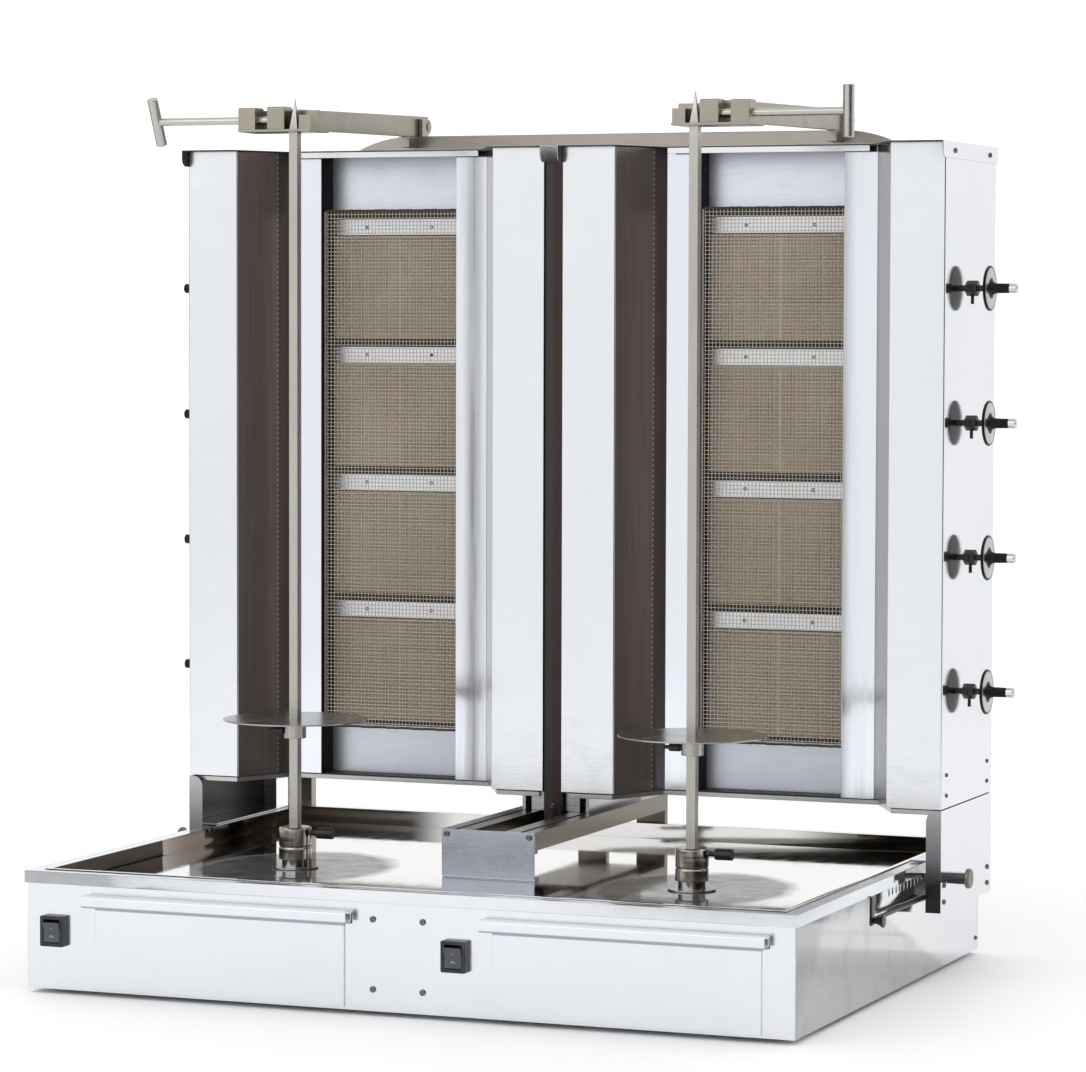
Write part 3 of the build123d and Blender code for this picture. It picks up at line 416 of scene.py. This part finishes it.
def ceramic(name):
    """Biscuit-coloured burner ceramic with specks and a darker, fired skin."""
    shader = Shader(name)
    specks = shader.noise(1400, detail=2)
    cloud = shader.noise(14, detail=4)
    shade = shader.mix(shader.remap(cloud, (0.3, 0.7), (0.0, 1.0)),
                       rgba((0.40, 0.325, 0.245)), rgba((0.50, 0.42, 0.32)))
    shade = shader.mix(shader.remap(specks, (0.5, 0.75), (0.0, 0.5)), shade, rgba((0.25, 0.19, 0.13)))
    return shader.finish(shade, 0.92, 0.0, shader.bump(specks, 0.0002, 0.6))


def fibre(name, colour):
    """Soft ceramic fibre: matt and uneven."""
    shader = Shader(name)
    lumps = shader.noise(300, detail=4)
    shade = shader.mix(lumps, rgba(colour, 0.7), rgba(colour))
    return shader.finish(shade, 0.95, 0.0, shader.bump(lumps, 0.0006, 0.8))


def plastic(name, colour, rough, dust=0.10, gloss=0.5):
    """Moulded plastic with a fine texture, dust and light scuffs."""
    shader = Shader(name)
    texture = shader.noise(1800, detail=2)
    cloud = shader.remap(shader.noise(40, detail=5), (0.5, 0.8), (0.0, dust))
    shade = shader.mix(cloud, rgba(colour), rgba((0.32, 0.31, 0.30)))
    roughness = shader.remap(texture, (0.3, 0.7), (rough * 0.85, rough * 1.2))
    shader.feed(shader.surface.inputs["Specular IOR Level"], gloss)
    return shader.finish(shade, roughness, 0.0, shader.bump(texture, 0.00004, 0.5))


MATERIALS = {
    "casing_steel": casing_steel("casing_steel"),
    "reflector_steel": reflector_steel("reflector_steel"),
    "frame_steel": brushed("frame_steel", *FRAME_STEEL),
    "tray_steel": tray_steel("tray_steel"),
    "dark_steel": brushed("dark_steel", (0.075, 0.055, 0.048), 0.30, "z", 0.2),
    "satin_steel": brushed("satin_steel", (0.34, 0.315, 0.26), 0.28, "y", 0.14),
    "spit_steel": brushed("spit_steel", (0.47, 0.45, 0.42), 0.28, "z", 0.12),
    "socket_steel": polished_socket("socket_steel"),
    "disc_steel": masked("disc_steel", ((0.42, 0.40, 0.38), 0.22, "x", 0.1, 0.1), disc_screw, BLACK, 0.4),
    "plunger_steel": brushed("plunger_steel", (0.22, 0.19, 0.165), 0.34, "x", 0.15),
    "screw_steel": brushed("screw_steel", (0.20, 0.195, 0.19), 0.28, "x", 0.1),
    "burner_steel": brushed("burner_steel", (0.30, 0.29, 0.28), 0.45, "x", 0.2),
    "burner_ceramic": ceramic("burner_ceramic"),
    "guard_wire": brushed("guard_wire", (0.58, 0.53, 0.45), 0.40, "z", 0.2),
    "gas_brass": masked("gas_brass", ((0.66, 0.50, 0.24), 0.30, "x", 0.15, 0.1), outside_panel,
                        (0.05, 0.046, 0.044), 0.35, 0.8),
    "motor_paint": plastic("motor_paint", (0.02, 0.02, 0.022), 0.35),
    "foot_rubber": plastic("foot_rubber", (0.025, 0.025, 0.025), 0.7),
    "switch_plastic": plastic("switch_plastic", (0.008, 0.008, 0.012), 0.35),
    "rocker_plastic": plastic("rocker_plastic", (0.055, 0.06, 0.08), 0.4),
    "knob_plastic": plastic("knob_plastic", (0.006, 0.006, 0.007), 0.30, 0.04, 0.15),
    "knob_dial": brushed("knob_dial", (0.50, 0.50, 0.51), 0.25, "z", 0.1),
    "bright_cap": brushed("bright_cap", (0.66, 0.66, 0.66), 0.16, "x", 0.06),
    "printed_mark": plastic("printed_mark", (0.45, 0.46, 0.48), 0.5),
    "sill_steel": brushed("sill_steel", (0.90, 0.92, 0.96), 0.34, "x", 0.06),
    # Dark steel for painted shadow lines: the wire guard's hem and the strip under each sill.
    "shadow_line_steel": brushed("shadow_line_steel", (0.10, 0.085, 0.075), 0.5, "x", 0.3),
    "white_fibre": fibre("white_fibre", (0.62, 0.58, 0.50)),
}

# Finishes of single nodes, where the slot's own finish isn't enough.
OWN_FINISH = {
    "centre_column": masked("column_steel", ((0.055, 0.040, 0.035), 0.30, "z", 0.2, 0.2), left_of_middle,
                            BLACK, 0.5),
    "centre_rails": masked("rail_steel", ((0.46, 0.49, 0.56), 0.26, "x", 0.08, 0.1), rails_behind,
                           (0.17, 0.15, 0.115), 0.28, 1.0),
    "burner_frame": masked("recess_plate", ((0.66, 0.69, 0.76), 0.38, "x", 0.05, 0.1), in_burner_stack,
                           PAINTED_DARK, 0.7),
    "top_cap": masked("cap_steel", CASING_STEEL, under_cap, PAINTED_DARK, 0.5),
    "bottom_plate": masked("floor_steel", ((0.55, 0.55, 0.55), 0.3, "x", 0.1, 0.1), under_casing, BLACK, 0.6),
    "side_bracket": masked("bracket_steel", CASING_STEEL, inside_bracket, PAINTED_DARK, 0.3, 0.6),
    "drawer": masked("drawer_steel", CASING_STEEL, under_lip, (0.36, 0.38, 0.45), 0.3, 1.0),
    "rear_upright": brushed("upright_steel", (0.36, 0.33, 0.29), 0.32, "x", 0.1),
    "t_handle": brushed("handle_steel", (0.50, 0.485, 0.45), 0.30, "x", 0.1),
}
SLOTS = {part["node"]: part["material_slot"] for part in frame["record"]["subparts"]
         if "material_slot" in part}


# ---- CAD nodes that are shown as they are ----
def short_name(node):
    side, _, rest = node.partition("_")
    return rest if side in SIDES else node


def dress(node, material, edge=0.0005):
    """Gives a CAD node its material and slightly rounded edges."""
    obj = frame["nodes"][node]
    obj.data.materials.clear()
    obj.data.materials.append(material)
    custom = obj.data.attributes.get("custom_normal")
    if custom is not None:
        obj.data.attributes.remove(custom)
    obj.data.shade_smooth()
    weld = obj.modifiers.new("weld", "WELD")
    weld.merge_threshold = 0.00001
    flat = obj.modifiers.new("flat", "DECIMATE")
    flat.decimate_type = "DISSOLVE"
    flat.angle_limit = radians(1)
    bevel = obj.modifiers.new("bevel", "BEVEL")
    bevel.width, bevel.segments = edge, 2
    bevel.angle_limit = radians(32)
    bevel.use_clamp_overlap = False
    obj.modifiers.new("normals", "WEIGHTED_NORMAL")


for node in frame["nodes"]:
    dress(node, OWN_FINISH.get(short_name(node), MATERIALS[SLOTS[node]]))


# ---- Pieces drawn here ----
class Piece:
    """Collects the mesh of one piece; shapes can be added in several materials."""

    def __init__(self, name):
        self.name, self.points, self.faces = name, [], []
        self.materials, self.face_material = [], []

    def add(self, points, faces, material):
        start = len(self.points)
        self.points += [tuple(point) for point in points]
        self.faces += [tuple(start + corner for corner in face) for face in faces]
        if material not in self.materials:
            self.materials.append(material)
        self.face_material += [self.materials.index(material)] * len(faces)

    def block(self, low, high, material):
        points = [(x, y, z) for x in (low[0], high[0]) for y in (low[1], high[1]) for z in (low[2], high[2])]
        faces = [(0, 1, 3, 2), (4, 6, 7, 5), (0, 4, 5, 1), (2, 3, 7, 6), (0, 2, 6, 4), (1, 5, 7, 3)]
        self.add(points, faces, material)

    def tube(self, path, radius, across, material, closed=False):
        """Round bar along a path; `across` holds two unit vectors square to the path."""
        sides = 6
        ring = [(cos(2 * pi * n / sides) * radius, sin(2 * pi * n / sides) * radius) for n in range(sides)]
        points = [Vector(at) + across[0] * u + across[1] * v for at in path for u, v in ring]
        faces = []
        for n in range(len(path) if closed else len(path) - 1):
            a, b = n * sides, (n + 1) % len(path) * sides
            faces += [(a + k, a + (k + 1) % sides, b + (k + 1) % sides, b + k) for k in range(sides)]
        self.add(points, faces, material)

    def turned(self, profile, place, material, steps=48, flutes=(0, 0.0)):
        """Surface of (distance along, radius) points turned about the local X axis of `place`."""
        count, depth = flutes
        points, faces = [], []
        for along, radius in profile:
            for n in range(steps):
                angle = 2 * pi * n / steps
                r = radius * (1 - depth * max(0.0, cos(count * angle))) if count else radius
                points.append(place @ Vector((along, r * cos(angle), r * sin(angle))))
        for ring in range(len(profile) - 1):
            a, b = ring * steps, (ring + 1) * steps
            faces += [(a + n, a + (n + 1) % steps, b + (n + 1) % steps, b + n) for n in range(steps)]
        self.add(points, faces, material)

    def make(self, body, smooth_angle=35, replaced=()):
        mesh = bpy.data.meshes.new(self.name)
        mesh.from_pydata(self.points, [], self.faces)
        for material in self.materials:
            mesh.materials.append(MATERIALS[material])
        mesh.polygons.foreach_set("material_index", self.face_material)
        mesh.shade_smooth()
        mesh.set_sharp_from_angle(angle=radians(smooth_angle))
        made = bpy.data.objects.new(self.name, mesh)
        bpy.context.scene.collection.objects.link(made)
        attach(made, body)
        if replaced:
            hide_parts(*replaced)
        return made


X, Y, Z = Vector((1, 0, 0)), Vector((0, 1, 0)), Vector((0, 0, 1))
MESH_PITCH, WIRE_R, WEAVE = 0.0050, 0.00050, 0.00045      # wire guard
EDGE_W, HEM_R, HEM_WAVE, HEM_STEPS = 0.0025, 0.0018, 0.0002, 48


def woven_guard(side):
    """Fine woven mesh in front of the burners, held in a thin hem that is painted dark as a shadow line."""
    s = SIDES[side]
    x0, x1 = sorted((s * GUARD_LOW.x, s * GUARD_HIGH.x))
    z0, z1 = GUARD_LOW.z, GUARD_HIGH.z
    y = (GUARD_LOW.y + GUARD_HIGH.y) / 2
    columns, rows = round((x1 - x0) / MESH_PITCH), round((z1 - z0) / MESH_PITCH)
    step_x, step_z = (x1 - x0) / columns, (z1 - z0) / rows
    piece = Piece(f"{side}_woven_guard")

    def height(i, j):
        return y + WEAVE * (1 if (i + j) % 2 else -1)

    for i in range(1, columns):
        path = [(x0 + i * step_x, height(i, j), z0 + j * step_z) for j in range(rows + 1)]
        piece.tube(path, WIRE_R, (X, Y), "guard_wire")
    for j in range(1, rows):
        path = [(x0 + i * step_x, 2 * y - height(i, j), z0 + j * step_z) for i in range(columns + 1)]
        piece.tube(path, WIRE_R, (Y, Z), "guard_wire")
    for x in (x0, x1 - EDGE_W):
        piece.block((x, y - 0.001, z0), (x + EDGE_W, y + 0.001, z1), "guard_wire")
    piece.make(f"{side}_tower", replaced=[f"{side}_mesh_guard"])

    hem = Piece(f"{side}_guard_hem")
    for z in (z0, z1):
        path = [(x0 + (x1 - x0) * n / HEM_STEPS, y, z + HEM_WAVE * (sin(2.1 * n) + sin(0.7 * n)))
                for n in range(HEM_STEPS + 1)]
        hem.tube(path, HEM_R, (Y, Z), "shadow_line_steel")
    hem.make(f"{side}_tower")


PIT_PITCH, PIT_SHARE, PIT_DEPTH = 0.0040, 0.55, 0.0016    # flame holes in the ceramics
JOINT_HALF, ROPE_R = 0.0011, 0.0013              # half the gap between plaques, and the packing rope


def pitted_plaque(piece, x0, x1, z0, z1, y0, y1):
    """One ceramic plaque with a pit in every cell of its front face."""
    columns, rows = round((x1 - x0) / PIT_PITCH), round((z1 - z0) / PIT_PITCH)
    wide, tall = (x1 - x0) / columns, (z1 - z0) / rows
    points, faces = [], []
    for j in range(rows):
        for i in range(columns):
            cx, cz = x0 + (i + 0.5) * wide, z0 + (j + 0.5) * tall
            start = len(points)
            for share, y in ((1.0, y0), (PIT_SHARE, y0), (PIT_SHARE * 0.8, y0 + PIT_DEPTH)):
                points += [(cx + u * wide / 2 * share, y, cz + v * tall / 2 * share)
                           for u, v in ((-1, -1), (1, -1), (1, 1), (-1, 1))]
            for ring in (0, 4):
                faces += [(start + ring + k, start + ring + (k + 1) % 4,
                           start + ring + 4 + (k + 1) % 4, start + ring + 4 + k) for k in range(4)]
            faces.append((start + 8, start + 9, start + 10, start + 11))
    piece.add(points, faces, "burner_ceramic")
    piece.block((x0, y0 + PIT_DEPTH * 1.2, z0), (x1, y1, z1), "burner_ceramic")


def ceramics(side):
    """Two pitted plaques in each burner with a fibre joint between them."""
    s = SIDES[side]
    x0, x1 = sorted((s * PLAQUES_LOW.x, s * PLAQUES_HIGH.x))
    middle = (x0 + x1) / 2
    piece = Piece(f"{side}_burner_plaques")
    for z in FIELDS:
        for low, high in ((x0, middle - JOINT_HALF), (middle + JOINT_HALF, x1)):
            pitted_plaque(piece, low, high, z, z + FIELD_H, PLAQUES_LOW.y, PLAQUES_HIGH.y)
    piece.make(f"{side}_tower", replaced=[f"{side}_burner_ceramics"])
    front, rope_y = PLAQUES_LOW.y, RECESS_FRONT - 0.0006
    packing = Piece(f"{side}_burner_packing")
    for z in FIELDS:
        packing.block((middle - JOINT_HALF, front - 0.0004, z),
                      (middle + JOINT_HALF, front + 0.006, z + FIELD_H), "white_fibre")
        rope_z = z + FIELD_H + 0.0012
        packing.tube([(x0, rope_y, rope_z), (x1, rope_y, rope_z)], ROPE_R, (Y, Z), "white_fibre")
    packing.make(f"{side}_tower")


SILL_Z, SILL_FOLD = (0.0045, 0.0255), 0.0040     # a sill above its burner, and its folded edge


def sills(side):
    """Bright strip over each burner, with a fold along its lower edge and a painted shadow line under the
    fold.
    """
    s = SIDES[side]
    x0, x1 = sorted((s * (GUARD_LOW.x - 0.0002), s * (GUARD_HIGH.x + 0.0002)))
    back = RECESS_FRONT - 0.0001
    piece = Piece(f"{side}_burner_sills")
    for z in FIELDS:
        low, high = [z + FIELD_H + up for up in SILL_Z]
        piece.block((x0, back - 0.0009, low), (x1, back, high), "sill_steel")
        piece.block((x0, back - SILL_FOLD, low), (x1, back, low + 0.0010), "sill_steel")
        # Painted shadow: a dark strip under the fold.
        piece.block((x0, back - 0.0016, low - 0.0020), (x1, back, low), "shadow_line_steel")
    piece.make(f"{side}_tower")


SKIRT_T, HUB_AT, CAP_L = 0.0035, 0.0120, 0.0098           # along a knob: skirt, end of the flare, cap
HUB_R, FLARE_R, GRIP_R, CAP_R = 0.0150, 0.0065, 0.0062, 0.0064


def knob(side, number):
    """Black gas knob: skirt with a metal dial, flared hub, fluted grip and a bright cap; on the left knobs
    the cap is painted black as shade.
    """
    s = SIDES[side]
    low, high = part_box(f"{side}_gas_knob_{number}")
    centre = (low + high) / 2
    skirt_r = (high.z - low.z) / 2
    base = min(s * low.x, s * high.x)
    length = high.x - low.x
    place = Matrix.Translation((0, centre.y, centre.z)) @ Matrix.Diagonal((s, 1, 1, 1))
    rim, hub, grip, end = base + SKIRT_T, base + HUB_AT, base + length - CAP_L, base + length
    piece = Piece(f"{side}_knob_{number}")
    piece.turned([(base, 0.004), (base, skirt_r * 0.965), (base + 0.001, skirt_r),
                  (base + 0.0025, skirt_r), (rim, skirt_r * 0.965), (rim, skirt_r * 0.90)],
                 place, "knob_plastic", 96, (48, 0.012))
    piece.turned([(rim, skirt_r * 0.90), (rim + 0.0003, skirt_r * 0.88), (rim + 0.0003, 0.0135)],
                 place, "knob_dial")
    turns = [pi / 2 * n / 8 for n in range(9)]
    flare = [(rim + (hub - rim) * (1 - cos(turn)), FLARE_R + (HUB_R - FLARE_R) * (1 - sin(turn)))
             for turn in turns]
    piece.turned(flare + [(grip, GRIP_R), (grip, 0.001)], place, "knob_plastic", 64, (8, 0.10))
    # Painted shade: the left caps are bright steel like the right ones, but get the black plastic for the
    # shade they sit in.
    cap = "bright_cap" if side == "right" else "knob_plastic"
    profile = [(grip, 0.0050), (grip, CAP_R), (end - 0.001, CAP_R), (end, CAP_R - 0.001), (end, 0.0)]
    piece.turned(profile, place, cap, 32)
    piece.make(f"{side}_gas_knob_{number}", replaced=[f"{side}_gas_knob_{number}"])


MARK_R, MARK_LINE = 0.0022, 0.0004               # ring on a rocker, and the thickness of its line
ROCKER_TILT, ROCKER_BEND = radians(8), radians(11)


def rocker_marks(side):
    """Plain bar and ring moulded on the rocker's two halves."""
    low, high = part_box(f"{side}_rocker")
    middle, half = (low + high) / 2, (high.z - low.z) / 2
    piece = Piece(f"{side}_rocker_marks")

    def on_face(u, v):
        """Point on the rocker's front, u across and v up from its middle."""
        tilt = ROCKER_TILT + ROCKER_BEND * (1 if v < 0 else -1)
        return (middle.x + u, low.y + 0.0022 + abs(v) * 0.05 - v * sin(tilt) * 0.6, middle.z + v)

    turns = [2 * pi * n / 20 for n in range(20)]
    ring = [on_face(MARK_R * cos(turn), -0.5 * half + MARK_R * sin(turn)) for turn in turns]
    piece.tube(ring, MARK_LINE, (X, Z), "printed_mark", closed=True)
    piece.tube([on_face(0, 0.32 * half), on_face(0, 0.68 * half)], MARK_LINE, (X, Y), "printed_mark")
    piece.make(f"{side}_rocker")


for side in SIDES:
    woven_guard(side)
    ceramics(side)
    sills(side)
    rocker_marks(side)
    for number in (1, 2, 3, 4):
        knob(side, number)


# ---- Stage ----
FLOOR_SIZE = 7.0
WORLD_STRENGTH, REFLECTED_STRENGTH = 1.18, 1.04  # seen plainly and on matt surfaces, and in reflections
KEY_AT, KEY_SIZE, KEY_WATTS = (-1.6, -3.2, 2.6), (2.4, 2.0), 18


def floor():
    bpy.ops.mesh.primitive_plane_add(size=FLOOR_SIZE)
    plane = bpy.context.object
    plane.name = "floor"
    shader = Shader("floor")
    speck = shader.noise(3, detail=2)
    plane.data.materials.append(
        shader.finish(shader.mix(speck, rgba((0.93, 0.93, 0.93)), rgba((0.95, 0.95, 0.95))), 0.6))


# Dark screens of the studio: (azimuth to the right of the front, half width, soft edge, level).
SCREENS = [(55, 27, 9, 0.06), (-92, 20, 12, 0.30)]


def world():
    """White studio for the camera; dark upright screens at the sides show in reflections."""
    made = bpy.data.worlds.new("studio")
    bpy.context.scene.world = made
    made.use_nodes = True
    tree = made.node_tree
    background = tree.nodes["Background"]

    def maths(operation, a, b=0.0, c=0.0):
        node = tree.nodes.new("ShaderNodeMath")
        node.operation = operation
        for socket, value in zip(node.inputs, (a, b, c)):
            if isinstance(value, bpy.types.NodeSocket):
                tree.links.new(value, socket)
            else:
                socket.default_value = value
        return node.outputs["Value"]

    split = tree.nodes.new("ShaderNodeSeparateXYZ")
    tree.links.new(tree.nodes.new("ShaderNodeTexCoord").outputs["Generated"], split.inputs["Vector"])
    azimuth = maths("ARCTAN2", split.outputs["X"], maths("MULTIPLY", split.outputs["Y"], -1.0))
    level = 1.0
    for middle, half, soft, dark in SCREENS:
        turn = maths("WRAP", maths("SUBTRACT", azimuth, radians(middle)), pi, -pi)
        away = maths("ABSOLUTE", turn)
        ramp = tree.nodes.new("ShaderNodeMapRange")
        ramp.clamp = True
        tree.links.new(away, ramp.inputs["Value"])
        for name, number in zip(("From Min", "From Max", "To Min", "To Max"),
                                (radians(half), radians(half + soft), dark, 1.0)):
            ramp.inputs[name].default_value = number
        level = maths("MULTIPLY", level, ramp.outputs["Result"])
    low = maths("ABSOLUTE", split.outputs["Z"])
    level = maths("MAXIMUM", level, maths("SUBTRACT", maths("MULTIPLY", low, 3.0), 1.2))
    rays = tree.nodes.new("ShaderNodeLightPath").outputs
    plain = maths("MAXIMUM", rays["Is Camera Ray"], rays["Is Diffuse Ray"])
    reflected = maths("MULTIPLY", maths("MINIMUM", level, 1.0), REFLECTED_STRENGTH)
    strength = maths("MAXIMUM", reflected, maths("MULTIPLY", plain, WORLD_STRENGTH))
    tree.links.new(strength, background.inputs["Strength"])
    background.inputs["Color"].default_value = (1, 1, 1, 1)


def key_lamp():
    """Soft lamp that faces the middle of the object."""
    data = bpy.data.lights.new("key", "AREA")
    data.shape, data.energy = "RECTANGLE", KEY_WATTS
    data.size, data.size_y = KEY_SIZE
    lamp = bpy.data.objects.new("key", data)
    lamp.location = KEY_AT
    lamp.rotation_euler = (Vector((0, 0, 0.5)) - Vector(KEY_AT)).to_track_quat("-Z", "Y").to_euler()
    bpy.context.scene.collection.objects.link(lamp)


def camera():
    lo, hi = CAD_BOX
    aim = (lo + hi) / 2 + Vector((AIM_RIGHT, AIM_BACK, 0))
    a, e = radians(AZIMUTH), radians(ELEVATION)
    back = Vector((sin(a) * cos(e), -cos(a) * cos(e), sin(e)))
    data = bpy.data.cameras.new("camera")
    data.lens, data.sensor_width = LENS, 36
    data.clip_start, data.clip_end = 0.1, 100
    made = bpy.data.objects.new("camera", data)
    made.location = aim + back * DISTANCE
    turn = (-back).to_track_quat("-Z", "Y").to_matrix() @ Matrix.Rotation(radians(ROLL), 3, "Z")
    made.rotation_euler = turn.to_euler()
    bpy.context.scene.collection.objects.link(made)
    bpy.context.scene.camera = made


floor()
world()
camera()
key_lamp()
bpy.context.scene.view_settings.view_transform = "Standard"
